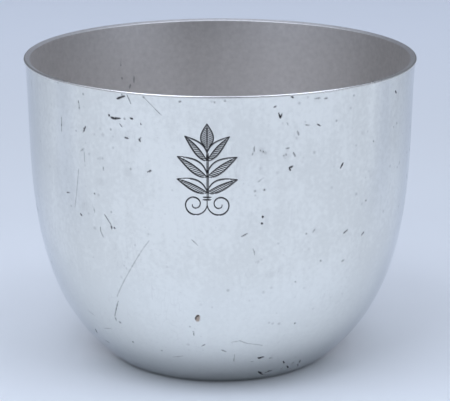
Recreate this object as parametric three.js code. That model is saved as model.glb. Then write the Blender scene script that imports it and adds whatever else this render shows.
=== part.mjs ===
// A small round-bottomed drinking cup of silver-plated metal.
// Millimetres, +Z up. The origin is the centre of the ring that the cup stands on.
import * as THREE from "three";

// Driving dimensions of the cup as a whole
const CUP_HEIGHT = 66;
const RIM_DIAMETER = 84;
const BASE_DIAMETER = 47;

// The bowl's curve: it leaves the base at one slope and reaches the rim at another,
// and keeps close to each slope over its reach
const BASE_SLOPE_DEGREES = 37.5;
const BASE_SLOPE_REACH = 25.6;
const RIM_SLOPE_DEGREES = 85.7;
const RIM_SLOPE_REACH = 19.3;

// Sheet metal of the body, with the ring that is turned in under it to carry the floor
const WALL_THICKNESS = 1;
const STANDING_EDGE_RADIUS = 1.5;
const STANDING_RING_WIDTH = 4.5;

// Floor let into the bottom of the body
const FLOOR_THICKNESS = 1;
const FLOOR_CLEARANCE = 0.2;

// Low half-round wire along the lip, flush with the wall inside and proud of it outside
const RIM_WIRE_HEIGHT = 0.5;
const RIM_WIRE_OVERHANG = 0.25;

// Faceting of the round forms
const TURN_STEPS = 72;
const BOWL_STEPS = 18;
const STANDING_EDGE_STEPS = 3;
const RIM_WIRE_STEPS = 8;
const HALVING_STEPS = 40;

const baseSlope = THREE.MathUtils.degToRad(BASE_SLOPE_DEGREES);
const rimSlope = THREE.MathUtils.degToRad(RIM_SLOPE_DEGREES);
const baseRadius = BASE_DIAMETER / 2;
const wireSeatHeight = CUP_HEIGHT - RIM_WIRE_HEIGHT;
const wallTopRadius = RIM_DIAMETER / 2 - RIM_WIRE_OVERHANG;
const ringThickness = WALL_THICKNESS;
const ringInnerRadius = baseRadius - STANDING_RING_WIDTH;
const floorTopHeight = ringThickness + FLOOR_THICKNESS;

// The rounded standing edge runs this far along the table and along the bowl
const edgeRun = STANDING_EDGE_RADIUS * Math.tan(baseSlope / 2);

function pointAlong(start, angle, distance) {
  return new THREE.Vector2(
    start.x + distance * Math.cos(angle),
    start.y + distance * Math.sin(angle),
  );
}

// Outside of the bowl, as radius and height, from the standing edge to the seat of the rim wire
const standingCorner = new THREE.Vector2(baseRadius, 0);
const bowlStart = pointAlong(standingCorner, baseSlope, edgeRun);
const bowlEnd = new THREE.Vector2(wallTopRadius, wireSeatHeight);
const bowlCurve = new THREE.CubicBezierCurve(
  bowlStart,
  pointAlong(bowlStart, baseSlope, BASE_SLOPE_REACH),
  pointAlong(bowlEnd, rimSlope, -RIM_SLOPE_REACH),
  bowlEnd,
);

// A point on the inside of the bowl, one wall thickness in from the outside.
// Past either end the curve runs on straight, so that the inside reaches its seats.
function insidePoint(share) {
  const onCurve = THREE.MathUtils.clamp(share, 0, 1);
  const tangent = bowlCurve.getTangent(onCurve);
  const inward = new THREE.Vector2(-tangent.y, tangent.x);
  const past = (share - onCurve) * CUP_HEIGHT;
  return bowlCurve
    .getPoint(onCurve)
    .addScaledVector(inward, WALL_THICKNESS)
    .addScaledVector(tangent, past);
}

// The share of the curve at which its inside lies at a height, found by halving
function insideShareAtHeight(height) {
  let low = -1;
  let high = 2;
  for (let step = 0; step < HALVING_STEPS; step += 1) {
    const middle = (low + high) / 2;
    if (insidePoint(middle).y < height) {
      low = middle;
    } else {
      high = middle;
    }
  }
  return high;
}

function insideRadiusAtHeight(height) {
  return insidePoint(insideShareAtHeight(height)).x;
}

// A profile of radius and height turned about the vertical axis
function turned(profile) {
  return new THREE.LatheGeometry(profile, TURN_STEPS).rotateX(Math.PI / 2);
}

function metalMesh(name, geometry, color, roughness) {
  const material = new THREE.MeshStandardMaterial({ color, roughness, metalness: 1 });
  const mesh = new THREE.Mesh(geometry, material);
  mesh.name = name;
  return mesh;
}

// Body: the wall and the turned-in ring that it stands on, open in the middle of its bottom
function cupBody() {
  const standingEdge = new THREE.EllipseCurve(
    baseRadius - edgeRun,
    STANDING_EDGE_RADIUS,
    STANDING_EDGE_RADIUS,
    STANDING_EDGE_RADIUS,
    -Math.PI / 2,
    baseSlope - Math.PI / 2,
  ).getPoints(STANDING_EDGE_STEPS);
  const outside = bowlCurve.getPoints(BOWL_STEPS);

  const insideTop = insideShareAtHeight(wireSeatHeight);
  const insideBottom = insideShareAtHeight(ringThickness);
  const inside = [];
  for (let step = 0; step <= BOWL_STEPS; step += 1) {
    const share = THREE.MathUtils.lerp(insideTop, insideBottom, step / BOWL_STEPS);
    inside.push(insidePoint(share));
  }

  const profile = [
    new THREE.Vector2(ringInnerRadius, 0),
    ...standingEdge.slice(0, -1),
    ...outside,
    ...inside,
    new THREE.Vector2(ringInnerRadius, ringThickness),
    new THREE.Vector2(ringInnerRadius, 0),
  ];
  return metalMesh("cup_body", turned(profile), 0xd3d8de, 0.18);
}

// Floor: a disc with a bevelled edge, lying on the turned-in ring inside the wall
function baseDisc() {
  const lowerRadius = insideRadiusAtHeight(ringThickness) - FLOOR_CLEARANCE;
  const upperRadius = insideRadiusAtHeight(floorTopHeight) - FLOOR_CLEARANCE;
  const profile = [
    new THREE.Vector2(0, ringThickness),
    new THREE.Vector2(lowerRadius, ringThickness),
    new THREE.Vector2(upperRadius, floorTopHeight),
    new THREE.Vector2(0, floorTopHeight),
  ];
  return metalMesh("base_disc", turned(profile), 0x9a9ba0, 0.4);
}

// Lip: a half-round wire standing on the flat top edge of the wall
function rimWire() {
  const innerRadius = insideRadiusAtHeight(wireSeatHeight);
  const outerRadius = wallTopRadius + RIM_WIRE_OVERHANG;
  const crown = new THREE.EllipseCurve(
    (innerRadius + outerRadius) / 2,
    wireSeatHeight,
    (outerRadius - innerRadius) / 2,
    RIM_WIRE_HEIGHT,
    0,
    Math.PI,
  ).getPoints(RIM_WIRE_STEPS);
  const profile = [...crown, crown[0].clone()];
  return metalMesh("rim_wire", turned(profile), 0xeceff2, 0.12);
}

const cup = new THREE.Group();
cup.add(cupBody(), baseDisc(), rimWire());

export default cup;
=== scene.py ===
"""A small silver-plated drinking cup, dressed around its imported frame. Metres, +Z up, front at -Y."""
import math
import random

import bpy
import numpy as np
from mathutils import Euler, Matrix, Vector
from mathutils.kdtree import KDTree


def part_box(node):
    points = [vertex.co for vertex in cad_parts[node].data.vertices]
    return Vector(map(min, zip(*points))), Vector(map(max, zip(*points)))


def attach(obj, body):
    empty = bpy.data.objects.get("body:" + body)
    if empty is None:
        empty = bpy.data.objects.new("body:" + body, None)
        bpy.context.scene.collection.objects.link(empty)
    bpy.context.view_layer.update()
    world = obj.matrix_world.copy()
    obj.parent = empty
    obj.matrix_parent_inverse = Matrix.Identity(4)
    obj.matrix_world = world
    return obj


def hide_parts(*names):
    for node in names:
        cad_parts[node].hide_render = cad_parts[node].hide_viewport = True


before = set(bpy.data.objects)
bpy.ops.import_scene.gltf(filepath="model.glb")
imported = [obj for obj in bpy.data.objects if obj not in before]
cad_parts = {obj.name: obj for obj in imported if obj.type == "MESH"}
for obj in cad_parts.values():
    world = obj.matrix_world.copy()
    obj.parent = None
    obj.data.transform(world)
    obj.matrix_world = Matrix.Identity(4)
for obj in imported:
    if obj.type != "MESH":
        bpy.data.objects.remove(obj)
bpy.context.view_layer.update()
chance = random.Random(7)

MM = 0.001

# Sizes that the frame gives
_, body_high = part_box("cup_body")
wire_low, wire_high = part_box("rim_wire")
disc_low, disc_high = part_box("base_disc")
CUP_HEIGHT = wire_high.z
RIM_RADIUS = wire_high.x
WIRE_SEAT = wire_low.z
WALL_TOP_RADIUS = body_high.x
RING_TOP = disc_low.z
FLOOR_TOP = disc_high.z

# Sizes of the bowl's curve and its metal, the same as in the construction
BASE_RADIUS = 23.5 * MM
BASE_SLOPE = math.radians(37.5)
BASE_SLOPE_REACH = 25.6 * MM
RIM_SLOPE = math.radians(85.7)
RIM_SLOPE_REACH = 19.3 * MM
WALL = 1 * MM
STANDING_EDGE_RADIUS = 1.5 * MM
STANDING_EDGE_RUN = STANDING_EDGE_RADIUS * math.tan(BASE_SLOPE / 2)
RING_WIDTH = 4.5 * MM

# Sizes that only the dressed pieces have
BROKEN_EDGE = 0.15 * MM
SOLDER_FILLET = 0.9 * MM
SOLDER_FILLET_END = math.radians(-20)
HAIRLINE_GAP = 0.02 * MM
LIP_ROUND = 0.28 * MM
LIP_INNER_ROUND = 0.09 * MM
LIP_SLOPE = math.radians(20)

# How finely the pieces are turned
TURN_STEPS = 208
OUTSIDE_ROWS = 60
INSIDE_ROWS = 32
EDGE_ROWS = 5
LIP_ROWS = 12
FILLET_ROWS = 6
SOLDERED_ROWS = 3
CURVE_SAMPLES = 600
MERGE_DISTANCE = 0.001 * MM
CREASE_ANGLE = math.radians(38)

# How near a stroke the wall is subdivided, once for each reach, and once more along the sprig
REFINE_REACHES = (1.15 * MM, 0.65 * MM, 0.42 * MM)
SPRIG_REFINE_REACH = 0.27 * MM

# The photograph's frame in pixels, and the camera that was fitted to the cup's outline in it
PHOTO_WIDTH = 450
PHOTO_HEIGHT = 401
FOCAL_PIXELS = 1991
SENSOR_WIDTH = 36
NEAR_CLIP = 10 * MM
CAMERA_PLACE = Vector((1.03 * MM, -420 * MM, 150.7 * MM))
CAMERA_TURN = Euler((math.pi / 2 - math.radians(15.62), 0, 0))

# The search along a line of sight: its reach as a share of the way to the axis, and its halvings
SIGHT_BRACKET = 0.5
SIGHT_HALVINGS = 40

FRONT = -math.pi / 2

# The engraved ornament: its middle on the front, beside the cup's own middle line
ORNAMENT_ASIDE = -2.5 * MM
ORNAMENT_HEIGHT = 51 * MM

# The sprig's places and strokes, in mm from the ornament's middle
STEM = ((0, -6.6), (0, 5.0))
STEM_SHADE = ((0.28, -6.0), (0.28, 3.5))
TIE_HEIGHTS = (-5.6, -6.1)
TIE_HALF_LENGTH = 0.8
CURL_CENTRE = (2.5, -7.1)
CURL_END_RADIUS = 0.45
CURL_TURNS = 1.5
CURL_SAMPLES = 60
OUTLINE_HALF_WIDTH = 0.17
SHADING_HALF_WIDTH = 0.11
OUTLINE_DEPTH = 0.1
SHADING_DEPTH = 0.06

# The sprig's leaves: base, tip, half width and bend in mm, and the number of shading lines
SIDE_LEAVES = (
    ((0, -4.6), (6.0, -2.0), 1.15, 0.35, 11),
    ((0, -1.4), (5.9, 2.6), 1.25, 0.4, 11),
    ((0, 1.9), (4.4, 6.8), 1.1, 0.4, 11),
)
TOP_LEAF = ((0, 4.6), (0, 9.4), 1.25, 0, 9)

# A leaf's outline, and its shading lines as shares of its length
LEAF_SAMPLES = 25
LEAF_FULLNESS = 0.75
SHADING_START = 0.08
SHADING_EXTENT = 0.74
SHADING_LEAN = 0.12

# Spacing of the samples along a stroke, in mm
STROKE_SPACING = 0.06

# How a stroke swells, and how a worn mark's width wavers, as shares of its full half width
STROKE_SWELL = 0.7
GRAVER_END_SHARE = 0.55
WORN_END_SHARE = 0.6
WAVER_SHARES = (0.5, 1.15)
WAVER_LEAST = 3
SAMPLES_PER_WAVER = 4

# Kinds of marks: half width in mm, depth in mm and how much grime they hold
DEEP_NICK = (0.27, 0.07, 1.0)
NICK = (0.24, 0.05, 0.8)
LIGHT_NICK = (0.25, 0.03, 0.5)
SHARP_SCRATCH = (0.16, 0.03, 0.75)
SCRATCH = (0.15, 0.03, 0.45)
BARE_EDGE = (0.26, 0.09, 0.9)
STAIN = (0.3, 0.01, 0.55)

# Kinds of spots: least and most half width in mm, depth in mm, least and most grime
SPECK = ((0.24, 0.32), 0.04, (0.34, 0.52))
FAINT_SPECK = ((0.24, 0.44), 0.02, (0.11, 0.23))
SMUDGE = ((0.8, 1.4), 0.0, (0.05, 0.08))

# The bare spot, where the plating has come off, in mm
BARE_HALF_WIDTH = 0.52
BARE_DEPTH = 0.08

# How steeply a cut, its grime and its bare metal rise to full strength from a stroke's edge
CUT_STEEPNESS = 1.6
GRIME_STEEPNESS = 2.2
BARE_STEEPNESS = 3

# Like marks on the sides and the back, which the photograph doesn't show, with lengths and widths in mm
SIDE_MARKS = 110
SIDE_MARKS_SPREAD = math.radians(115)
SIDE_MARKS_HEIGHTS = (4 * MM, 62 * MM)
SIDE_MARKS_LENGTHS = (0.0, 0.4, 0.7, 1.2, 3.5)
SIDE_SCRATCH_LENGTH = 1
SIDE_SCRATCH_HALF_WIDTH = 0.12
SIDE_NICK_HALF_WIDTHS = (0.17, 0.28)
SIDE_MARKS_DEPTH = 0.045
SIDE_MARKS_GRIMES = (0.3, 0.9)
SHORTEST_STROKE = 0.02

# Wear that shows in the photograph, as places in its frame in pixels, read one by one
DEEP_NICKS = (
    ((108.6, 114.6), (109.3, 115.6)),
    ((110.8, 117.2), (114.5, 118.3), (120.2, 118.1)),
    ((278.8, 113.2), (280.4, 117.6), (282.4, 113.2)),
    ((292.8, 166.1), (289.4, 167.7), (290.4, 170.4)),
    ((343.2, 162.8), (340.6, 168)),
    ((395.4, 90.8), (396.4, 92.8)),
    ((262.3, 216.8), (263.3, 216.8)),
    ((261.2, 223.5), (262.8, 223.3)),
    ((130.2, 118), (132.5, 118.6)),
    ((258.5, 372.5), (262.5, 374.5)),
    ((258, 371.4), (261.5, 373)),
    ((264.5, 373), (272, 370.4)),
    ((257.5, 358), (263.8, 357)),
    ((267.6, 371.8), (269.4, 370.6)),
    ((258.5, 358.6), (261.5, 358.2)),
    ((283.4, 361.2), (284.2, 363.2)),
    ((287.2, 365.8), (288.2, 368)),
    ((291.2, 96.2), (293.2, 97.4)),
    ((117, 98.5), (125, 95.7)),
)
NICKS = (
    ((241.6, 236.6), (247.6, 233.4)),
    ((140.8, 123.2), (141, 125)),
    ((80.1, 213.4), (82, 215.7)),
    ((273.6, 107.4), (276.4, 105.9)),
    ((147.3, 172), (151, 170.4)),
    ((317.2, 124), (321, 126)),
    ((124.5, 137.4), (128, 138.2)),
    ((140.9, 137.3), (139.3, 139.6), (140.7, 142.2)),
    ((83.5, 128), (84.5, 131)),
    ((85.5, 126.5), (83, 132)),
    ((361.6, 235), (364.2, 231.6)),
    ((95.4, 329), (97, 332.6)),
    ((343.7, 233.1), (345.4, 231.8), (347.6, 229.8)),
    ((201.6, 346.3), (205, 344.5)),
    ((111.2, 225.6), (111.8, 229)),
    ((113.9, 227.6), (114.9, 228.3)),
    ((121.6, 92.6), (121.9, 95.4)),
)
LIGHT_NICKS = (
    ((294.8, 281.7), (296, 282.1)),
    ((179, 101.8), (181, 101.2)),
    ((115.4, 317.5), (116.4, 320.8)),
    ((119, 321.6), (120.4, 323)),
    ((105, 340), (109.5, 342.8)),
    ((297.6, 130.8), (298.8, 135)),
    ((314.5, 98.6), (320, 98)),
    ((324.2, 98.6), (327.4, 98)),
    ((103.2, 167.2), (103.2, 170.4)),
    ((312.6, 232.4), (314.6, 229.8)),
    ((221.4, 350), (226, 351.8)),
    ((285.9, 148.7), (289.6, 147.7)),
    ((254.5, 146.4), (254.2, 151.4)),
    ((341.4, 261.8), (344.4, 259.6)),
    ((293.3, 152.4), (295.3, 156.2)),
    ((193.8, 332.8), (193.8, 335.6)),
    ((250.6, 361.6), (253.2, 361.4)),
    ((269, 358.2), (272, 358)),
    ((280.6, 368.8), (283, 367.4)),
    ((298, 366.2), (297.4, 363.8)),
    ((299.4, 362.6), (300.2, 360)),
    ((291.8, 363.8), (293.4, 362.2)),
    ((301.8, 367), (304, 366.4)),
)
SHARP_SCRATCHES = (
    ((100.2, 226.8), (100.7, 231.3), (103.6, 237.3)),
    ((104.6, 214.7), (111.3, 225)),
    ((119.6, 123.6), (122.2, 127.2)),
    ((127, 95), (131, 104)),
    ((78.3, 100), (79.2, 108)),
    ((66.5, 192.4), (70.3, 192.5)),
    ((118.3, 301), (117.1, 305.4), (114.9, 316.1)),
    ((61.5, 116.6), (61.5, 131.5)),
)
SCRATCHES = (
    ((144, 97.5), (161, 115)),
    ((287.2, 122.4), (288.2, 125.4)),
    ((149.3, 240.6), (143.9, 247.3), (135, 261.6), (128.8, 272.3), (124.3, 280.4), (117.1, 296.4)),
    ((78.6, 169), (76.6, 193), (75, 207)),
    ((84, 152), (85, 166)),
    ((104, 328.3), (111, 328.3)),
    ((231.6, 342.3), (239.8, 340.8), (246.9, 343.4), (255.1, 344.4), (262.2, 345.4)),
    ((253, 248.6), (254.2, 251.5), (254.5, 255)),
    ((263.9, 177.5), (258.1, 182)),
    ((234.7, 354.6), (233.8, 361.2)),
    ((191.7, 239.8), (197.9, 245.5)),
    ((253.4, 152), (251.8, 155.6)),
    ((80, 151.5), (84, 148.5)),
    ((93.5, 207), (94.8, 212.8)),
    ((88, 310.5), (94, 315)),
    ((305.5, 124.8), (311, 125.3)),
    ((173, 357), (183, 356)),
)
SPECKS = (
    (214.6, 102.2), (225, 100.8), (83, 94), (336.5, 120.8), (283.9, 155.6), (286, 154.4),
    (264.4, 189.8), (255, 191.1), (260.4, 150.4), (263.4, 151.4), (189.9, 326.7), (161.8, 350.6),
    (120.3, 322.3), (124.5, 118.7), (316.8, 98.2), (396.8, 123), (133, 342), (366, 200.4),
    (397.2, 167), (393.7, 126.9), (373.7, 141.3), (354, 95.4), (76, 130.8), (320.7, 260.7),
    (71.2, 205.8), (110.8, 129.4), (79.2, 108.2), (130.7, 168.8), (111.3, 212), (294.9, 323.3),
    (143.6, 97.2), (193.4, 331.8), (94.6, 193.6), (195.2, 318.4), (306.3, 233.8),
)
FAINT_SPECKS = (
    (211.6, 101.5), (299.4, 103.2), (282.6, 123), (305.3, 121.7), (296.6, 138), (265.4, 152.7),
    (284.8, 158), (277.5, 172.8), (260.6, 168.3), (308, 97.2), (350.9, 108), (362.5, 132.2),
    (367.7, 131.5), (58, 82.5), (334, 166.6), (356.1, 145.5), (369.1, 171.5), (365.6, 177.7),
    (314.4, 152.5), (356.3, 194.1), (258, 262), (255.3, 195.5), (309.2, 248.7), (271.3, 287.7),
    (261.6, 259.6), (337.9, 213), (94.3, 134.2), (100, 129), (102.6, 134.8), (113, 136.5),
    (88.9, 154), (85.5, 143), (113.2, 147.8), (98, 158.6), (100.1, 158.4), (102.5, 158.4),
    (49.9, 166), (101.3, 181), (98.4, 195), (82.5, 149.6), (84.1, 203.6), (94.8, 228), (135, 245.1),
    (167.1, 267), (124.3, 265.6), (188.3, 344.6), (201, 304.6), (212.2, 307.3), (279, 323.7),
    (295.4, 357.1), (331.8, 187.6), (362, 203.8), (383.2, 211.2), (390, 166), (88.6, 213.4),
    (126.4, 268.4), (121.4, 277.2), (148.4, 234.2), (160.4, 250.6), (172.2, 190.2), (278.2, 243.6),
    (228, 290.4), (342.2, 293.8), (313, 308.6), (263.4, 292.2), (303.8, 288), (269.2, 322.8),
    (272.6, 323.6),
)
SMUDGES = (
    (128, 173), (113, 137), (270, 274.5), (345, 232.5), (314, 231), (363, 132), (287, 154),
    (261, 151), (101, 182), (85, 206), (318, 99), (371, 174),
)
BARE_SPOT = ((198, 316.5), (197.5, 320))
BARE_SPOT_EDGE = ((198.5, 315.5), (195.8, 317.5), (195.6, 320))
INSIDE_STAINS = (
    ((121.7, 77.6), (122.2, 78.6)),
    ((134, 76.5), (134, 82.5)),
    ((130.5, 85), (129.5, 88)),
    ((120.8, 64.5), (121, 65.5)),
)


# The bowl's curve
def further(start, angle, distance):
    return np.array(start) + distance * np.array((math.cos(angle), math.sin(angle)))


def bowl_curve():
    """Points on the outside and on the inside of the wall, as radius and height, from base to rim."""
    start = further((BASE_RADIUS, 0), BASE_SLOPE, STANDING_EDGE_RUN)
    end = np.array((WALL_TOP_RADIUS, WIRE_SEAT))
    first_handle = further(start, BASE_SLOPE, BASE_SLOPE_REACH)
    last_handle = further(end, RIM_SLOPE, -RIM_SLOPE_REACH)
    t = np.linspace(0, 1, CURVE_SAMPLES)[:, None]
    outside = (
        start * (1 - t) ** 3
        + first_handle * 3 * t * (1 - t) ** 2
        + last_handle * 3 * t**2 * (1 - t)
        + end * t**3
    )
    tangent = np.gradient(outside, axis=0)
    tangent /= np.linalg.norm(tangent, axis=1)[:, None]
    inside = outside + WALL * np.column_stack((-tangent[:, 1], tangent[:, 0]))
    below = inside[0] - tangent[0] * WALL
    return outside, np.vstack((below, inside))


outside_curve, inside_curve = bowl_curve()


def radius_at(curve, height):
    return np.interp(height, curve[:, 1], curve[:, 0])


def even_rows(curve, low, high, rows):
    """Points spaced evenly along a curve, from one height to another."""
    heights = np.linspace(low, high, CURVE_SAMPLES)
    line = np.column_stack((radius_at(curve, heights), heights))
    run = np.concatenate(([0], np.cumsum(np.linalg.norm(np.diff(line, axis=0), axis=1))))
    wanted = np.linspace(0, run[-1], rows + 1)
    return [(np.interp(w, run, line[:, 0]), np.interp(w, run, line[:, 1])) for w in wanted]


def arc(centre, radius, start, end, rows):
    angles = np.linspace(start, end, rows + 1)
    return [(centre[0] + radius * math.cos(a), centre[1] + radius * math.sin(a)) for a in angles]


# Turning
def deselect_all():
    if bpy.context.object and bpy.context.object.mode != "OBJECT":
        bpy.ops.object.mode_set(mode="OBJECT")
    bpy.ops.object.select_all(action="DESELECT")


def take_up(piece):
    deselect_all()
    piece.select_set(True)
    bpy.context.view_layer.objects.active = piece


def turn_on_lathe(name, profile):
    """Draws a profile of radius and height as a chain of vertices and spins it about the cup's axis."""
    deselect_all()
    bpy.ops.mesh.primitive_plane_add(size=MM)
    piece = bpy.context.object
    piece.name = name
    bpy.ops.object.mode_set(mode="EDIT")
    bpy.ops.mesh.merge(type="CENTER")
    bpy.ops.transform.translate(value=(profile[0][0], 0, profile[0][1]))
    for (radius, height), (next_radius, next_height) in zip(profile, profile[1:]):
        step = (next_radius - radius, 0, next_height - height)
        bpy.ops.mesh.extrude_vertices_move(TRANSFORM_OT_translate={"value": step})
    bpy.ops.mesh.select_all(action="SELECT")
    bpy.ops.mesh.spin(steps=TURN_STEPS, angle=2 * math.pi, center=(0, 0, 0), axis=(0, 0, 1))
    bpy.ops.mesh.select_all(action="SELECT")
    bpy.ops.mesh.remove_doubles(threshold=MERGE_DISTANCE)
    bpy.ops.mesh.normals_make_consistent(inside=False)
    bpy.ops.object.mode_set(mode="OBJECT")
    return piece


def body_profile():
    """The closed section of the body: standing ring, outside, top edge, inside."""
    ring_inner = BASE_RADIUS - RING_WIDTH
    standing_edge = arc(
        (BASE_RADIUS - STANDING_EDGE_RUN, STANDING_EDGE_RADIUS),
        STANDING_EDGE_RADIUS,
        -math.pi / 2,
        BASE_SLOPE - math.pi / 2,
        EDGE_ROWS,
    )
    outside = even_rows(outside_curve, outside_curve[0, 1], WIRE_SEAT, OUTSIDE_ROWS)
    inside = even_rows(inside_curve, WIRE_SEAT, RING_TOP, INSIDE_ROWS)
    ring_top = (ring_inner, RING_TOP)
    return [
        ring_top,
        (ring_inner, BROKEN_EDGE),
        (ring_inner + BROKEN_EDGE, 0),
        *standing_edge[:-1],
        *outside,
        *inside,
        ring_top,
    ]


def wire_profile():
    """The closed section of the lip: rounded outside, with a top that slopes down to the inside."""
    inner = radius_at(inside_curve, WIRE_SEAT)
    outer = RIM_RADIUS - MERGE_DISTANCE
    top = CUP_HEIGHT - MERGE_DISTANCE
    past_top = math.pi / 2 + LIP_SLOPE
    crest = arc((outer - LIP_ROUND, top - LIP_ROUND), LIP_ROUND, 0, past_top, LIP_ROWS)
    corner = arc((inner + LIP_INNER_ROUND, 0), LIP_INNER_ROUND, past_top, math.pi, LIP_ROWS)
    slope_run = crest[-1][0] - corner[0][0]
    corner_height = crest[-1][1] - slope_run * math.tan(LIP_SLOPE) - corner[0][1]
    inside = [(radius, height + corner_height) for radius, height in corner]
    outer_seat = (outer, WIRE_SEAT)
    return [outer_seat, *crest, *inside, (inner, WIRE_SEAT), outer_seat]


def disc_profile():
    """The section of the floor, with the solder at its edge drawn up the wall as a hollow fillet."""
    fillet = arc((0, 0), SOLDER_FILLET, -math.pi / 2, SOLDER_FILLET_END, FILLET_ROWS)
    edge = []
    for across, up in fillet:
        height = FLOOR_TOP + SOLDER_FILLET + up
        reach = radius_at(inside_curve, FLOOR_TOP) - SOLDER_FILLET + across
        edge.append((min(reach, radius_at(inside_curve, height) - HAIRLINE_GAP), height))
    wall_rows = even_rows(inside_curve, edge[-1][1], RING_TOP, SOLDERED_ROWS)
    under = [(radius - HAIRLINE_GAP, height) for radius, height in wall_rows]
    return [(0, FLOOR_TOP), *edge, *under, (0, RING_TOP)]


# Cuts and wear in the metal
class Cuts:
    """Strokes in a surface, as samples along them with their half widths, depths, grime and bare metal."""

    def __init__(self):
        self.places = []
        self.half_widths = []
        self.depths = []
        self.grimes = []
        self.bares = []

    def add(self, places, half_width, depth, grime, bare=0.0):
        """Adds a stroke. Its half width, one value or one for each place, and its depth are in mm."""
        widths = np.broadcast_to(np.asarray(half_width, dtype=float) * MM, (len(places),))
        self.places.extend(places)
        self.half_widths.extend(widths)
        self.depths.extend([depth * MM] * len(places))
        self.grimes.extend([grime] * len(places))
        self.bares.extend([bare] * len(places))

    def tree(self):
        tree = KDTree(len(self.places))
        for index, place in enumerate(self.places):
            tree.insert(place, index)
        tree.balance()
        return tree


def evenly_along(points):
    """Points at the strokes' even spacing along a chain of points in mm."""
    points = np.asarray(points, dtype=float)
    run = np.concatenate(([0], np.cumsum(np.linalg.norm(np.diff(points, axis=0), axis=1))))
    wanted = np.linspace(0, run[-1], max(2, math.ceil(run[-1] / STROKE_SPACING) + 1))
    return np.column_stack([np.interp(wanted, run, points[:, axis]) for axis in range(points.shape[1])])


def on_bowl(curve, azimuth, height):
    radius = radius_at(curve, height)
    return Vector((radius * math.cos(azimuth), radius * math.sin(azimuth), height))


def unrolled(azimuth, height):
    """A place on the bowl as mm round the rim and mm up."""
    return azimuth * RIM_RADIUS / MM, height / MM


def rolled_on(curve, points):
    """Places along a chain of unrolled points, laid on the bowl."""
    chain = evenly_along(points)
    return [on_bowl(curve, across * MM / RIM_RADIUS, up * MM) for across, up in chain]


def sight_line(pixel):
    across = (pixel[0] - PHOTO_WIDTH / 2) / FOCAL_PIXELS
    up = (PHOTO_HEIGHT / 2 - pixel[1]) / FOCAL_PIXELS
    direction = Vector((across, up, -1))
    direction.rotate(CAMERA_TURN)
    return direction


def seen_on_bowl(curve, pixel, far_side):
    """The azimuth and height of the place on the bowl that the photograph shows at a pixel."""
    direction = sight_line(pixel)
    flat = direction.xy
    nearest = -CAMERA_PLACE.xy.dot(flat) / flat.dot(flat)
    inner = nearest
    outer = nearest * (1 + SIGHT_BRACKET if far_side else 1 - SIGHT_BRACKET)
    for _ in range(SIGHT_HALVINGS):
        middle = (inner + outer) / 2
        place = CAMERA_PLACE + direction * middle
        if place.xy.length < radius_at(curve, place.z):
            inner = middle
        else:
            outer = middle
    place = CAMERA_PLACE + direction * inner
    return math.atan2(place.y, place.x), place.z


def stroke_seen(curve, pixels, far_side=False):
    """Places along a chain of pixels, laid on the bowl."""
    ends = [seen_on_bowl(curve, pixel, far_side) for pixel in pixels]
    if len(ends) == 1:
        return [on_bowl(curve, *ends[0])]
    return rolled_on(curve, [unrolled(*end) for end in ends])


def swelling(count, thin, full):
    """Half widths along a stroke, thin at its ends and full in its middle."""
    share = np.linspace(0, 1, count)
    return thin + (full - thin) * np.sin(math.pi * share) ** STROKE_SWELL


def ragged(count, full):
    """Half widths along a scratch or nick, uneven and running out at both ends."""
    knots = [chance.uniform(*WAVER_SHARES) for _ in range(max(WAVER_LEAST, count // SAMPLES_PER_WAVER))]
    uneven = np.interp(np.linspace(0, len(knots) - 1, count), range(len(knots)), knots)
    return uneven * swelling(count, full * WORN_END_SHARE, full)


def engrave(cuts, points, half_width, depth):
    """Cuts a stroke of the ornament. Its points are in mm from the ornament's middle."""
    places = []
    for across, up in evenly_along(points):
        height = ORNAMENT_HEIGHT + up * MM
        azimuth = FRONT + (ORNAMENT_ASIDE + across * MM) / radius_at(outside_curve, height)
        places.append(on_bowl(outside_curve, azimuth, height))
    cuts.add(places, swelling(len(places), half_width * GRAVER_END_SHARE, half_width), depth, 1.0)


def mirrored(points):
    return np.asarray(points) * (-1, 1)


def leaf_strokes(base, tip, half_width, bend, shading_lines):
    """A leaf's two edges and midrib, and the shading lines across its lower half."""
    base = np.array(base)
    along = np.array(tip) - base
    across = np.array((-along[1], along[0])) / np.linalg.norm(along)
    share = np.linspace(0, 1, LEAF_SAMPLES)[:, None]
    rib = base + along * share + across * bend * np.sin(math.pi * share)
    breadth = half_width * np.sin(math.pi * share**LEAF_FULLNESS)
    outlines = [rib + across * breadth, rib - across * breadth, rib]
    shading = []
    for line in range(shading_lines):
        start = SHADING_START + SHADING_EXTENT * line / shading_lines
        end = start + SHADING_LEAN
        on_rib = base + along * start + across * bend * math.sin(math.pi * start)
        on_edge = base + along * end + across * bend * math.sin(math.pi * end)
        on_edge = on_edge - across * half_width * math.sin(math.pi * end**LEAF_FULLNESS)
        shading.append(np.array((on_rib, on_edge)))
    return outlines, shading


def scroll(start, centre, end_radius, turns):
    """A spiral that leaves a point, passes under its centre and curls in."""
    across = start[0] - centre[0]
    up = start[1] - centre[1]
    share = np.linspace(0, 1, CURL_SAMPLES)
    radius = math.hypot(across, up) * (1 - share) + end_radius * share
    angle = math.atan2(up, across) + 2 * math.pi * turns * share
    return np.column_stack((centre[0] + radius * np.cos(angle), centre[1] + radius * np.sin(angle)))


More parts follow.
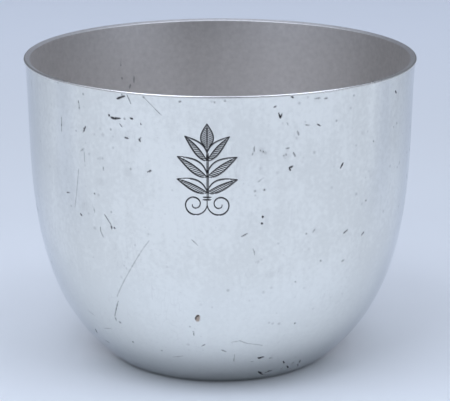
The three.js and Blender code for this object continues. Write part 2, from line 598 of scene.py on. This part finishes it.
def engraved_sprig(cuts):
    """A plain sprig of leaves, the same on both sides of its stem."""
    outlines = [STEM]
    shading = [STEM_SHADE]
    for leaf in SIDE_LEAVES:
        leaf_outlines, leaf_shading = leaf_strokes(*leaf)
        for chain in leaf_outlines:
            outlines += [chain, mirrored(chain)]
        for chain in leaf_shading:
            shading += [chain, mirrored(chain)]
    leaf_outlines, leaf_shading = leaf_strokes(*TOP_LEAF)
    outlines += leaf_outlines
    shading += leaf_shading + [mirrored(chain) for chain in leaf_shading]
    curl = scroll(STEM[0], CURL_CENTRE, CURL_END_RADIUS, CURL_TURNS)
    outlines += [curl, mirrored(curl)]
    for height in TIE_HEIGHTS:
        outlines.append(((-TIE_HALF_LENGTH, height), (TIE_HALF_LENGTH, height)))
    for chain in outlines:
        engrave(cuts, chain, OUTLINE_HALF_WIDTH, OUTLINE_DEPTH)
    for chain in shading:
        engrave(cuts, chain, SHADING_HALF_WIDTH, SHADING_DEPTH)


def wear(cuts, places, half_width, depth, grime):
    cuts.add(places, ragged(len(places), half_width), depth, grime)


def worn_front(cuts):
    """The wear that the photograph shows on the front."""
    for strokes, kind in (
        (DEEP_NICKS, DEEP_NICK),
        (NICKS, NICK),
        (LIGHT_NICKS, LIGHT_NICK),
        (SHARP_SCRATCHES, SHARP_SCRATCH),
        (SCRATCHES, SCRATCH),
    ):
        for pixels in strokes:
            wear(cuts, stroke_seen(outside_curve, pixels), *kind)
    for spots, (half_widths, depth, grimes) in (
        (SPECKS, SPECK),
        (FAINT_SPECKS, FAINT_SPECK),
        (SMUDGES, SMUDGE),
    ):
        for pixel in spots:
            half_width = chance.uniform(*half_widths)
            cuts.add(stroke_seen(outside_curve, (pixel,)), half_width, depth, chance.uniform(*grimes))
    cuts.add(stroke_seen(outside_curve, BARE_SPOT), BARE_HALF_WIDTH, BARE_DEPTH, 0.0, bare=1.0)
    wear(cuts, stroke_seen(outside_curve, BARE_SPOT_EDGE), *BARE_EDGE)


def stained_inside(cuts):
    """The few stains that the photograph shows inside."""
    for pixels in INSIDE_STAINS:
        wear(cuts, stroke_seen(inside_curve, pixels, far_side=True), *STAIN)


def worn_sides(cuts):
    """Like wear on the sides and the back, scattered by chance."""
    for _ in range(SIDE_MARKS):
        azimuth = FRONT + math.pi + chance.uniform(-SIDE_MARKS_SPREAD, SIDE_MARKS_SPREAD)
        height = chance.uniform(*SIDE_MARKS_HEIGHTS)
        length = chance.choice(SIDE_MARKS_LENGTHS)
        slant = chance.uniform(0, math.pi)
        start = unrolled(azimuth, height)
        places = rolled_on(outside_curve, (start, further(start, slant, length + SHORTEST_STROKE)))
        if length > SIDE_SCRATCH_LENGTH:
            half_width = SIDE_SCRATCH_HALF_WIDTH
        else:
            half_width = chance.uniform(*SIDE_NICK_HALF_WIDTHS)
        wear(cuts, places, half_width, SIDE_MARKS_DEPTH, chance.uniform(*SIDE_MARKS_GRIMES))


def faces_outward(face):
    radial = Vector((face.center.x, face.center.y, 0))
    return face.normal.dot(radial) > 0


def refine_near(piece, tree, reach, outward=True):
    """Subdivides the faces of the outside, or of the inside, within reach of a stroke."""
    take_up(piece)
    mesh = piece.data
    near = []
    for face in mesh.polygons:
        near.append(faces_outward(face) == outward and tree.find(face.center)[2] < reach)
    mesh.vertices.foreach_set("select", [False] * len(mesh.vertices))
    mesh.edges.foreach_set("select", [False] * len(mesh.edges))
    mesh.polygons.foreach_set("select", near)
    bpy.ops.object.mode_set(mode="EDIT")
    bpy.ops.mesh.select_mode(type="FACE")
    bpy.ops.mesh.subdivide(number_cuts=1)
    bpy.ops.mesh.select_mode(type="VERT")
    bpy.ops.object.mode_set(mode="OBJECT")


def draw_to_curve(piece):
    """Moves the vertices of the outside onto the bowl's true round."""
    mesh = piece.data
    places = np.empty(len(mesh.vertices) * 3)
    mesh.vertices.foreach_get("co", places)
    places = places.reshape(-1, 3)
    radius = np.hypot(places[:, 0], places[:, 1])
    outer = radius_at(outside_curve, places[:, 2])
    outer_skin = WALL / 3
    on_outside = (places[:, 2] >= outside_curve[0, 1]) & (radius > outer - outer_skin)
    stretch = np.where(on_outside, outer / np.maximum(radius, MM), 1.0)
    places[:, :2] *= stretch[:, None]
    mesh.vertices.foreach_set("co", places.ravel())
    mesh.update()


def sink_cuts(piece, cuts, tree):
    """Presses the strokes into the metal and marks where they hold grime or show bare metal."""
    take_up(piece)
    mesh = piece.data
    widest = max(cuts.half_widths)
    deepest = max(cuts.depths)
    group = piece.vertex_groups.new(name="cut_depth")
    depths = np.zeros(len(mesh.vertices))
    grimes = np.zeros(len(mesh.vertices))
    bares = np.zeros(len(mesh.vertices))
    for vertex in mesh.vertices:
        index = vertex.index
        for _, sample, distance in tree.find_range(vertex.co, widest):
            share = 1 - distance / cuts.half_widths[sample]
            if share > 0:
                depths[index] = max(depths[index], cuts.depths[sample] * min(1, CUT_STEEPNESS * share))
                grimes[index] = max(grimes[index], cuts.grimes[sample] * min(1, GRIME_STEEPNESS * share))
                bares[index] = max(bares[index], cuts.bares[sample] * min(1, BARE_STEEPNESS * share))
        if depths[index] > 0:
            group.add([index], depths[index] / deepest, "REPLACE")
    for name, values in (("grime", grimes), ("bare", bares)):
        attribute = mesh.attributes.new(name, "FLOAT", "POINT")
        attribute.data.foreach_set("value", values)
    press = piece.modifiers.new("press", "DISPLACE")
    press.vertex_group = group.name
    press.direction = "NORMAL"
    press.mid_level = 0
    press.strength = -deepest
    bpy.ops.object.modifier_apply(modifier=press.name)


cup_body = turn_on_lathe("silver_body", body_profile())
rim_wire = turn_on_lathe("lip_wire", wire_profile())
floor_disc = turn_on_lathe("floor_disc", disc_profile())

sprig = Cuts()
engraved_sprig(sprig)
inside_stains = Cuts()
stained_inside(inside_stains)
all_cuts = Cuts()
engraved_sprig(all_cuts)
worn_front(all_cuts)
worn_sides(all_cuts)
stained_inside(all_cuts)
cuts_tree = all_cuts.tree()
for reach in REFINE_REACHES:
    refine_near(cup_body, cuts_tree, reach)
    refine_near(cup_body, inside_stains.tree(), reach, outward=False)
refine_near(cup_body, sprig.tree(), SPRIG_REFINE_REACH)
draw_to_curve(cup_body)
sink_cuts(cup_body, all_cuts, cuts_tree)

for piece, node, slot in (
    (cup_body, "cup_body", "polished_silver"),
    (rim_wire, "rim_wire", "rim_silver"),
    (floor_disc, "base_disc", "satin_silver"),
):
    take_up(piece)
    bpy.ops.object.shade_smooth_by_angle(angle=CREASE_ANGLE)
    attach(piece, "root")
    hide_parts(node)


# Finishes
class Value:
    """An output socket in a material. Arithmetic with it adds Math nodes."""

    def __init__(self, finish, socket):
        self.finish = finish
        self.socket = socket

    def math(self, operation, *terms):
        return self.finish.node("ShaderNodeMath", {"operation": operation}, dict(enumerate(terms)))

    def __add__(self, other):
        return self.math("ADD", self, other)

    def __radd__(self, other):
        return self.math("ADD", other, self)

    def __sub__(self, other):
        return self.math("SUBTRACT", self, other)

    def __rsub__(self, other):
        return self.math("SUBTRACT", other, self)

    def __mul__(self, other):
        return self.math("MULTIPLY", self, other)

    def __rmul__(self, other):
        return self.math("MULTIPLY", other, self)

    def __abs__(self):
        return self.math("ABSOLUTE", self)


# The middle of a noise pattern's values
NOISE_MIDDLE = 0.5

# Fine scratches: how far they are drawn out, how thin they are, and where they break off
SCRATCH_STRETCH = (1, 1, 0.04)
SCRATCH_THINNESS = 0.012
SCRATCH_BREAKS_PER_MM = 0.13
SCRATCH_BREAKS = (0.52, 0.64)


class Finish:
    """A material of nodes around one Principled shader. Its places are in mm."""

    def __init__(self, name, constants):
        self.material = bpy.data.materials.new(name)
        self.material.use_nodes = True
        self.tree = self.material.node_tree
        self.shader = self.tree.nodes["Principled BSDF"]
        self.set(constants)
        coordinates = self.node("ShaderNodeTexCoord", {}, {}, "Object")
        self.place = self.node(
            "ShaderNodeVectorMath", {"operation": "SCALE"}, {0: coordinates, "Scale": 1 / MM}
        )

    def connect(self, socket, value):
        if isinstance(value, Value):
            self.tree.links.new(value.socket, socket)
        else:
            socket.default_value = value

    def set(self, inputs):
        for name, value in inputs.items():
            self.connect(self.shader.inputs[name], value)

    def node(self, kind, settings, inputs, output=0):
        made = self.tree.nodes.new(kind)
        for name, value in settings.items():
            setattr(made, name, value)
        for name, value in inputs.items():
            self.connect(made.inputs[name], value)
        return Value(self, made.outputs[output])

    def blend(self, share, first, second):
        """A colour between two others."""
        return self.node("ShaderNodeMix", {"data_type": "RGBA"}, {0: share, 6: first, 7: second}, 2)

    def attribute(self, name):
        return self.node("ShaderNodeAttribute", {"attribute_name": name}, {}, "Fac")

    def coordinate(self, axis):
        return self.node("ShaderNodeSeparateXYZ", {}, {0: self.place}, axis)

    def stretched(self, stretch, turn=(0, 0, 0)):
        inputs = {"Vector": self.place, "Rotation": turn, "Scale": stretch}
        return self.node("ShaderNodeMapping", {}, inputs)

    def noise(self, place, per_mm, detail=2):
        inputs = {"Vector": place, "Scale": per_mm, "Detail": detail}
        return self.node("ShaderNodeTexNoise", {}, inputs)

    def ramp(self, value, low, high, start=0, end=1):
        """A smooth step from start to end while the given value goes from low to high."""
        inputs = {"Value": value, "From Min": low, "From Max": high, "To Min": start, "To Max": end}
        return self.node("ShaderNodeMapRange", {"interpolation_type": "SMOOTHSTEP"}, inputs)

    def fade(self, value, low, high):
        """A smooth step from 1 to 0 while the given value goes from low to high."""
        return self.ramp(value, low, high, 1, 0)

    def fine_scratches(self, turn, per_mm):
        """Broken fine scratches that run along one direction."""
        field = self.noise(self.stretched(SCRATCH_STRETCH, turn), per_mm, detail=1)
        line = self.fade(abs(field - NOISE_MIDDLE), 0, SCRATCH_THINNESS)
        broken = self.ramp(self.noise(self.place, SCRATCH_BREAKS_PER_MM, detail=1), *SCRATCH_BREAKS)
        return line * broken

    def bump(self, height, strength, distance):
        inputs = {"Height": height, "Strength": strength, "Distance": distance * MM}
        return self.node("ShaderNodeBump", {}, inputs)


# The outside: its colours, its uneven haze and specks, and the heights in mm of the painted light on the
# lower wall and the painted shade towards the foot
EDGE_ON_TINT = (0.87, 0.89, 0.93, 1)
BRIGHT_SILVER = (0.846, 0.842, 0.795, 1)
HAZED_SILVER = (0.773, 0.769, 0.725, 1)
LOWER_WALL_PAINTED_LIGHT = (0.89, 0.9, 0.87, 1)
FOOT_PAINTED_SHADE = (0.6, 0.61, 0.61, 1)
SPECKLED_SILVER = (0.4, 0.38, 0.36, 1)
SCRATCHED_SILVER = (0.6, 0.59, 0.57, 1)
BARE_METAL = (0.48, 0.39, 0.32, 1)
GRIME = (0.03, 0.028, 0.03, 1)
WIPED_STRETCH = (1, 1, 0.07)
HAZED_VALUES = (0.3, 0.7)
SPECKLED_VALUES = (0.66, 0.78)
PAINTED_LIGHT_HEIGHTS = (20, 34)
PAINTED_LIGHT_WAVER = 6
PAINTED_SHADE_HEIGHTS = (3, 15)
PAINTED_SHADE_WAVER = 4


def polished_outside():
    finish = Finish("polished_outside", {"Metallic": 1.0, "Specular Tint": EDGE_ON_TINT})
    haze = finish.noise(finish.place, per_mm=0.055, detail=4)
    wiped = finish.noise(finish.stretched(WIPED_STRETCH), per_mm=0.5, detail=3)
    mottle = finish.noise(finish.place, per_mm=1.1, detail=4)
    grain = finish.noise(finish.place, per_mm=1.6, detail=3)
    scratches = finish.fine_scratches(turn=(0.5, 0.3, 0), per_mm=0.5)
    scratches = scratches + finish.fine_scratches(turn=(-0.6, 0.9, 0.4), per_mm=0.4)
    grime = finish.attribute("grime")
    bare = finish.attribute("bare")
    uneven = haze + 0.5 * (wiped - NOISE_MIDDLE) + 0.9 * (mottle - NOISE_MIDDLE)
    dull = finish.ramp(uneven, *HAZED_VALUES)
    silver = finish.blend(dull, BRIGHT_SILVER, HAZED_SILVER)
    height = finish.coordinate("Z")
    # Painted light: the lower wall is made paler and bluer, standing in for the lit floor that it reflects
    painted_light = finish.fade(height + PAINTED_LIGHT_WAVER * (haze - NOISE_MIDDLE), *PAINTED_LIGHT_HEIGHTS)
    silver = finish.blend(0.5 * painted_light, silver, LOWER_WALL_PAINTED_LIGHT)
    # Painted shade: the wall is made darker towards the foot, standing in for the contact shadow that it
    # reflects
    painted_shade = finish.fade(height + PAINTED_SHADE_WAVER * (haze - NOISE_MIDDLE), *PAINTED_SHADE_HEIGHTS)
    silver = finish.blend(0.55 * painted_shade, silver, FOOT_PAINTED_SHADE)
    specks = finish.ramp(grain, *SPECKLED_VALUES)
    silver = finish.blend(0.3 * specks, silver, SPECKLED_SILVER)
    silver = finish.blend(0.2 * scratches, silver, SCRATCHED_SILVER)
    worn = finish.blend(bare, silver, BARE_METAL)
    finish.set({
        "Base Color": finish.blend(grime, worn, GRIME),
        "Roughness": 0.1 + 0.05 * dull + 0.02 * wiped + 0.35 * grime + 0.25 * bare,
        "Normal": finish.bump(grain + 0.1 * wiped - scratches, strength=0.06, distance=0.02),
    })
    return finish.material


# The inside: its colours, and the places across it in mm of a painted shade streak, a painted highlight
# band and painted shade at one end, standing in for the lamps' reflections
PALE_SATIN = (0.957, 0.932, 0.904, 1)
DULL_SATIN = (0.758, 0.736, 0.71, 1)
STAINED_SATIN = (0.1, 0.1, 0.1, 1)
RING_STRETCH = (0.02, 0.02, 1)
PAINTED_SHADE_STREAK_PLACE = -6
PAINTED_SHADE_STREAK_REACH = 9
PAINTED_HIGHLIGHT_PLACE = 19
PAINTED_HIGHLIGHT_REACHES = (3, 19)
PAINTED_SHADE_END_PLACES = (27, 38)


def satin_inside():
    finish = Finish("satin_inside", {"Metallic": 1.0})
    haze = finish.noise(finish.place, per_mm=0.07, detail=4)
    grain = finish.noise(finish.place, per_mm=3.5, detail=3)
    rings = finish.noise(finish.stretched(RING_STRETCH), per_mm=3, detail=2)
    mottle = finish.noise(finish.place, per_mm=1, detail=4)
    across = finish.coordinate("X")
    painted_shade_streak = finish.fade(abs(across - PAINTED_SHADE_STREAK_PLACE), 0, PAINTED_SHADE_STREAK_REACH)
    painted_highlight = finish.fade(abs(across - PAINTED_HIGHLIGHT_PLACE), *PAINTED_HIGHLIGHT_REACHES)
    painted_shade_end = finish.ramp(across, *PAINTED_SHADE_END_PLACES)
    # Random haze and mottle, with painted shade in a streak and at one end and a painted highlight band,
    # standing in for the lamps' reflections
    dull = 0.3 * haze + 1.1 * mottle + 0.36 * painted_shade_streak + 0.4 * painted_shade_end - 0.2 * painted_highlight - 0.2
    satin = finish.blend(dull, PALE_SATIN, DULL_SATIN)
    finish.set({
        "Base Color": finish.blend(finish.attribute("grime"), satin, STAINED_SATIN),
        "Roughness": 0.34 + 0.08 * haze + 0.05 * rings,
        "Normal": finish.bump(grain + 0.6 * rings, strength=0.25, distance=0.03),
    })
    return finish.material


# The underside
PALE_UNDERSIDE = (0.72, 0.705, 0.68, 1)
DULL_UNDERSIDE = (0.55, 0.535, 0.51, 1)


def scuffed_underside():
    finish = Finish("scuffed_underside", {"Metallic": 1.0})
    haze = finish.noise(finish.place, per_mm=0.12, detail=4)
    scratches = finish.fine_scratches(turn=(1.4, 0.3, 0), per_mm=0.6)
    scratches = scratches + finish.fine_scratches(turn=(1.2, 1.2, 0.8), per_mm=0.5)
    finish.set({
        "Base Color": finish.blend(haze, PALE_UNDERSIDE, DULL_UNDERSIDE),
        "Roughness": 0.34 + 0.2 * haze,
        "Normal": finish.bump(haze - scratches, strength=0.3, distance=0.03),
    })
    return finish.material


# The lip: its colours, its small nicks, and how far to either side, in mm, its ends are worn
BRIGHT_LIP = (0.86, 0.84, 0.79, 1)
HAZED_LIP = (0.8, 0.78, 0.73, 1)
NICKED_LIP = (0.5, 0.48, 0.45, 1)
NICKED_VALUES = (0.66, 0.74)
WORN_LIP_START = 28
WORN_LIP_END = 40


def bright_lip():
    finish = Finish("bright_lip", {"Metallic": 1.0})
    haze = finish.noise(finish.place, per_mm=0.15, detail=3)
    nicks = finish.ramp(finish.noise(finish.place, per_mm=0.9, detail=2), *NICKED_VALUES)
    silver = finish.blend(haze, BRIGHT_LIP, HAZED_LIP)
    worn = finish.ramp(abs(finish.coordinate("X")), WORN_LIP_START, WORN_LIP_END)
    finish.set({
        "Base Color": finish.blend(0.3 * nicks, silver, NICKED_LIP),
        "Roughness": 0.22 + 0.08 * haze + 0.09 * worn,
        "Normal": finish.bump(haze - nicks, strength=0.15, distance=0.03),
    })
    return finish.material


def satin_lip():
    finish = Finish("satin_lip", {"Metallic": 1.0})
    haze = finish.noise(finish.place, per_mm=0.07, detail=4)
    mottle = finish.noise(finish.place, per_mm=1, detail=4)
    worn = finish.fade(finish.coordinate("X"), -WORN_LIP_END, -WORN_LIP_START)
    dull = 0.3 * haze + 1.1 * mottle - 0.2
    finish.set({
        "Base Color": finish.blend(dull, PALE_SATIN, DULL_SATIN),
        "Roughness": 0.37 + 0.08 * haze + 0.04 * worn,
        "Normal": finish.bump(mottle, strength=0.1, distance=0.03),
    })
    return finish.material


# The floor inside, with the rings that turning leaves
PALE_FLOOR = (0.8, 0.785, 0.765, 1)
DULL_FLOOR = (0.72, 0.705, 0.685, 1)
FLOOR_RINGS_PER_MM = 2.4


def satin_floor():
    finish = Finish("satin_floor", {"Metallic": 1.0})
    flat_place = finish.stretched((1, 1, 0))
    radius = finish.node("ShaderNodeVectorMath", {"operation": "LENGTH"}, {0: flat_place}, "Value")
    ring_inputs = {"W": radius, "Scale": FLOOR_RINGS_PER_MM}
    rings = finish.node("ShaderNodeTexNoise", {"noise_dimensions": "1D"}, ring_inputs)
    haze = finish.noise(finish.place, per_mm=0.1, detail=4)
    finish.set({
        "Base Color": finish.blend(haze, PALE_FLOOR, DULL_FLOOR),
        "Roughness": 0.36 + 0.12 * haze,
        "Normal": finish.bump(rings, strength=0.3, distance=0.04),
    })
    return finish.material


# The body's finishes by their number, and which of its faces are the underside
INSIDE_FINISH = 1
UNDERSIDE_FINISH = 2
FACES_DOWN = -0.95
RING_EDGE_MARGIN = 0.3 * MM


def give_body_its_finishes():
    ring_edge = BASE_RADIUS - RING_WIDTH + RING_EDGE_MARGIN
    for material in (polished_outside(), satin_inside(), scuffed_underside()):
        cup_body.data.materials.append(material)
    for face in cup_body.data.polygons:
        radius = face.center.xy.length
        middle_of_wall = radius_at(outside_curve, face.center.z) - WALL / 2
        if face.normal.z < FACES_DOWN or radius < ring_edge:
            face.material_index = UNDERSIDE_FINISH
        elif not faces_outward(face) and radius < middle_of_wall:
            face.material_index = INSIDE_FINISH


def give_lip_its_finishes():
    crest = RIM_RADIUS - LIP_ROUND
    for material in (bright_lip(), satin_lip()):
        rim_wire.data.materials.append(material)
    for face in rim_wire.data.polygons:
        face.material_index = int(face.center.xy.length < crest)


give_body_its_finishes()
give_lip_its_finishes()
floor_disc.data.materials.append(satin_floor())

# The round sheet of paper that the cup stands on, in metres, and its colours, which hold painted light and
# shade
PAPER_RADIUS = 1.25
PAPER_SIDES = 96
NEAR_PAPER_COLOR = (0.83, 0.85, 0.85, 1)
PAPER_COLOR = (0.875, 0.895, 0.895, 1)
BACK_PAINTED_SHADE = (0.78, 0.8, 0.8, 1)
FAR_PAPER_COLOR = (0.885, 0.92, 0.955, 1)
SIDE_STRIP_PAINTED_SHADE = (0.75, 0.775, 0.795, 1)
FOOT_PAINTED_LIGHT = (0.97, 0.97, 0.97, 1)

# Where the paper's painted light and shade change, in mm back from the cup's axis and to either side of it
NEAR_PAPER_DEPTHS = (-20, 25)
SHADED_PAPER_DEPTHS = (30, 115)
FAR_PAPER_DEPTHS = (150, 450)
SIDE_SHADE_ACROSS = (70, 170)
SIDE_SHADE_DEPTH = -36
SIDE_SHADE_SLOPE = 0.35
SIDE_SHADE_LEAN = 0.08
SIDE_SHADE_REACHES = (5, 55)
FOOT_ACROSS = (24, 34)
FOOT_DEPTH = 1
FOOT_REACHES = (5, 15)


def pale_paper():
    """Paper with painted shade on either side of the cup and behind it, painted light at the cup's foot,
    and painted light and shade in bands from front to back.
    """
    finish = Finish("pale_paper", {"Roughness": 0.9})
    depth = finish.coordinate("Y")
    aside = finish.coordinate("X")
    across = abs(aside)
    # Painted light and shade in bands from front to back, not the paper's own colour
    tone = finish.blend(finish.ramp(depth, *NEAR_PAPER_DEPTHS), NEAR_PAPER_COLOR, PAPER_COLOR)
    tone = finish.blend(finish.ramp(depth, *SHADED_PAPER_DEPTHS), tone, BACK_PAINTED_SHADE)
    # Painted shade in a strip on either side of the cup, which the cup's wall reflects as darker sides
    strip = abs(depth - SIDE_SHADE_SLOPE * across - SIDE_SHADE_LEAN * aside - SIDE_SHADE_DEPTH)
    painted_shade_beside = finish.ramp(across, *SIDE_SHADE_ACROSS) * finish.fade(strip, *SIDE_SHADE_REACHES)
    tone = finish.blend(painted_shade_beside, tone, SIDE_STRIP_PAINTED_SHADE)
    # Painted light at the cup's foot, lifting the contact shadow beside it
    painted_light_at_foot = finish.fade(across, *FOOT_ACROSS) * finish.fade(abs(depth - FOOT_DEPTH), *FOOT_REACHES)
    tone = finish.blend(painted_light_at_foot, tone, FOOT_PAINTED_LIGHT)
    # The far paper is painted lighter and bluer
    tone = finish.blend(finish.ramp(depth, *FAR_PAPER_DEPTHS), tone, FAR_PAPER_COLOR)
    finish.set({"Base Color": tone})
    return finish.material


deselect_all()
bpy.ops.mesh.primitive_circle_add(vertices=PAPER_SIDES, radius=PAPER_RADIUS, fill_type="NGON")
floor = bpy.context.object
floor.name = "floor"
floor.data.materials.append(pale_paper())

# Light
ROOM_COLOR = (0.106, 0.116, 0.14, 1)
LIGHT_COLOR = (0.76, 0.83, 1)

# Softboxes: size in metres, azimuth and elevation in degrees, distance in metres and radiance
SOFT_PANELS = {
    "overhead_panel": (1.5, 0, 97, 1.35, 1.14),
    "left_panel": (0.5, -45, 55, 0.7, 2.54),
    "right_panel": (0.5, 55, 55, 0.7, 1.79),
    "left_low_panel": (0.6, -38, 22, 1.3, 0.6),
    "right_low_panel": (0.6, 58, 22, 1.3, 0.95),
    "left_side_panel": (0.8, -90, 38, 1.2, 0.85),
    "right_side_panel": (0.8, 90, 38, 1.2, 0.7),
}

world = bpy.data.worlds.new("dim_room")
world.use_nodes = True
world.node_tree.nodes["Background"].inputs["Color"].default_value = ROOM_COLOR
bpy.context.scene.world = world


def soft_panel(name, size, azimuth, elevation, distance, radiance):
    """A square softbox that faces the cup, at an azimuth from the camera's side."""
    light = bpy.data.lights.new(name, "AREA")
    light.shape = "SQUARE"
    light.size = size
    light.energy = radiance * math.pi * size**2
    light.color = LIGHT_COLOR
    panel = bpy.data.objects.new(name, light)
    turn = math.radians(azimuth)
    lift = math.radians(elevation)
    flat = distance * math.cos(lift)
    panel.location = (flat * math.sin(turn), -flat * math.cos(turn), distance * math.sin(lift))
    panel.rotation_euler = (math.pi / 2 - lift, 0, turn)
    bpy.context.scene.collection.objects.link(panel)


for panel_name, panel_values in SOFT_PANELS.items():
    soft_panel(panel_name, *panel_values)

# Camera
camera_lens = bpy.data.cameras.new("camera")
camera_lens.sensor_width = SENSOR_WIDTH
camera_lens.lens = FOCAL_PIXELS * SENSOR_WIDTH / PHOTO_WIDTH
camera_lens.clip_start = NEAR_CLIP
camera = bpy.data.objects.new("camera", camera_lens)
camera.location = CAMERA_PLACE
camera.rotation_euler = CAMERA_TURN
bpy.context.scene.collection.objects.link(camera)
bpy.context.scene.camera = camera
bpy.context.scene.view_settings.view_transform = "Standard"
